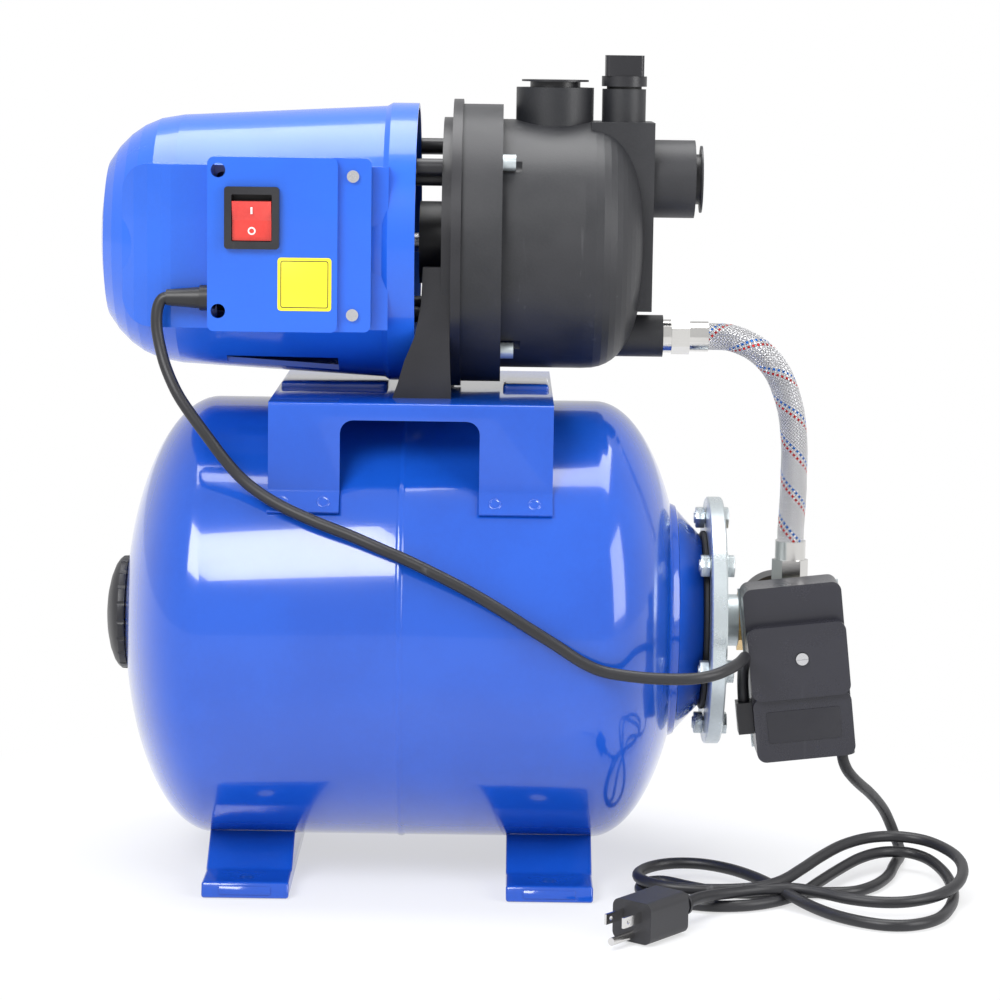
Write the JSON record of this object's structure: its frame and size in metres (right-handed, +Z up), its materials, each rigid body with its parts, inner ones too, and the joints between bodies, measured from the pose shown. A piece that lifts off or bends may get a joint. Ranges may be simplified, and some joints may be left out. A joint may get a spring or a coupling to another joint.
{
  "type": "centrifugal water pump",
  "caption": "Shallow-well booster set: a self-priming centrifugal jet pump and motor on a horizontal pressure tank, with pressure switch, gauge, hose and lead.",
  "frame": {"origin": "on the ground under the middle of the set, midway between its leftmost and rightmost pieces", "axes": "+X along the motor shaft towards the suction port, -Y towards the rocker switch, +Z up"},
  "size_m": [0.55, 0.3559, 0.518],
  "materials": {
    "tank_blue": "gloss enamel",
    "cover_blue": "gloss enamel",
    "black_cast": "satin moulded plastic",
    "black_gloss": "smooth moulded plastic",
    "zinc": "galvanised",
    "steel": "bright",
    "lamination": "laminated",
    "alu": "die cast",
    "brass": "machined",
    "copper": "enamelled wire",
    "rubber": "matt",
    "noryl": "satin",
    "ceramic": "polished",
    "white": "matt",
    "red": "translucent",
    "bakelite": "moulded",
    "glass": "clear",
    "braid": "braided wire"
  },
  "bodies": {
    "set": {"tank_shell_left": "tank_blue", "tank_shell_right": "tank_blue", "tank_feet": "tank_blue", "pump_bracket": "tank_blue", "tank_flange": "zinc", "flange_bolts": "zinc", "flange_nuts": "zinc", "tank_membrane": "rubber", "air_valve": "brass", "pipe_nipple": "zinc", "five_way_fitting": "brass", "gauge_case": "black_gloss", "gauge_dial": "white", "gauge_glass": "glass", "switch_base": "steel", "switch_cover": "black_gloss", "switch_cover_screw": "steel", "switch_glands": "black_cast", "switch_diaphragm": "steel", "contact_block": "bakelite", "pressure_hose": "braid", "hose_ends": "steel", "hose_adapter": "steel", "pump_casing": "black_cast", "casing_bolts": "zinc", "casing_seal": "rubber", "diffuser": "noryl", "jet_nozzle": "noryl", "seal_seat": "ceramic", "back_plate": "black_cast", "motor_foot": "black_cast", "foot_bolts": "zinc", "stator_core": "lamination", "stator_windings": "copper", "ball_bearings": "steel", "end_shield": "alu", "motor_cover": "cover_blue", "capacitor": "black_cast", "terminal_box": "cover_blue", "box_screws": "zinc", "switch_bezel": "black_gloss", "cable_gland": "rubber", "motor_lead": "rubber", "mains_lead": "rubber", "lead_hank": "rubber", "plug_body": "rubber", "plug_pins": "brass"},
    "rotor": {"rotor_shaft": "steel", "rotor_core": "lamination", "cooling_fan": "black_cast", "impeller": "brass", "shaft_seal": "black_cast"},
    "rocker": {"rocker_button": "red"},
    "outlet_cover": {"outlet_cap": "black_gloss"},
    "inlet_cover": {"inlet_cap": "black_gloss"},
    "valve_cover": {"valve_cap": "black_gloss"},
    "plug_seal": {"fill_plug_seal": "rubber"},
    "priming_plug": {"fill_plug": "black_cast"},
    "pointer": {"gauge_pointer": "black_gloss"},
    "lever": {"switch_lever": "steel"}
  },
  "joints": [
    {"name": "rotor_spin", "type": "hinge", "parent": "set", "child": "rotor", "pos_m": [0, 0, 0.399], "axis": [1, 0, 0], "continuous": true},
    {"name": "rocker_tilt", "type": "hinge", "parent": "set", "child": "rocker", "pos_m": [-0.1395, -0.092, 0.4182], "axis": [1, 0, 0], "range_deg": [-18, 0]},
    {"name": "outlet_cap_lift", "type": "slide", "parent": "set", "child": "outlet_cover", "axis": [0, 0, 1], "range_m": [0, 0.03]},
    {"name": "inlet_cap_pull", "type": "slide", "parent": "set", "child": "inlet_cover", "axis": [1, 0, 0], "range_m": [0, 0.03]},
    {"name": "valve_cap_pull", "type": "slide", "parent": "set", "child": "valve_cover", "axis": [-1, 0, 0], "range_m": [0, 0.03]},
    {"name": "plug_rise", "type": "slide", "parent": "set", "child": "plug_seal", "axis": [0, 0, 1], "range_m": [0, 0.0135]},
    {"name": "plug_turn", "type": "hinge", "parent": "plug_seal", "child": "priming_plug", "pos_m": [0.0867, 0, 0.497], "axis": [0, 0, 1], "range_deg": [0, 1630]},
    {"name": "pointer_sweep", "type": "hinge", "parent": "set", "child": "pointer", "pos_m": [0.195, 0.046, 0.1585], "axis": [0, -1, 0], "range_deg": [0, 270]},
    {"name": "lever_swing", "type": "hinge", "parent": "set", "child": "lever", "pos_m": [0.19628, -0.0315, 0.18235], "axis": [0.9936, 0, 0.1132], "range_deg": [-5, 0]}
  ],
  "couplings": [
    {"joint": "plug_turn", "follows": "plug_rise", "rad_per_m": 2094.4}
  ]
}
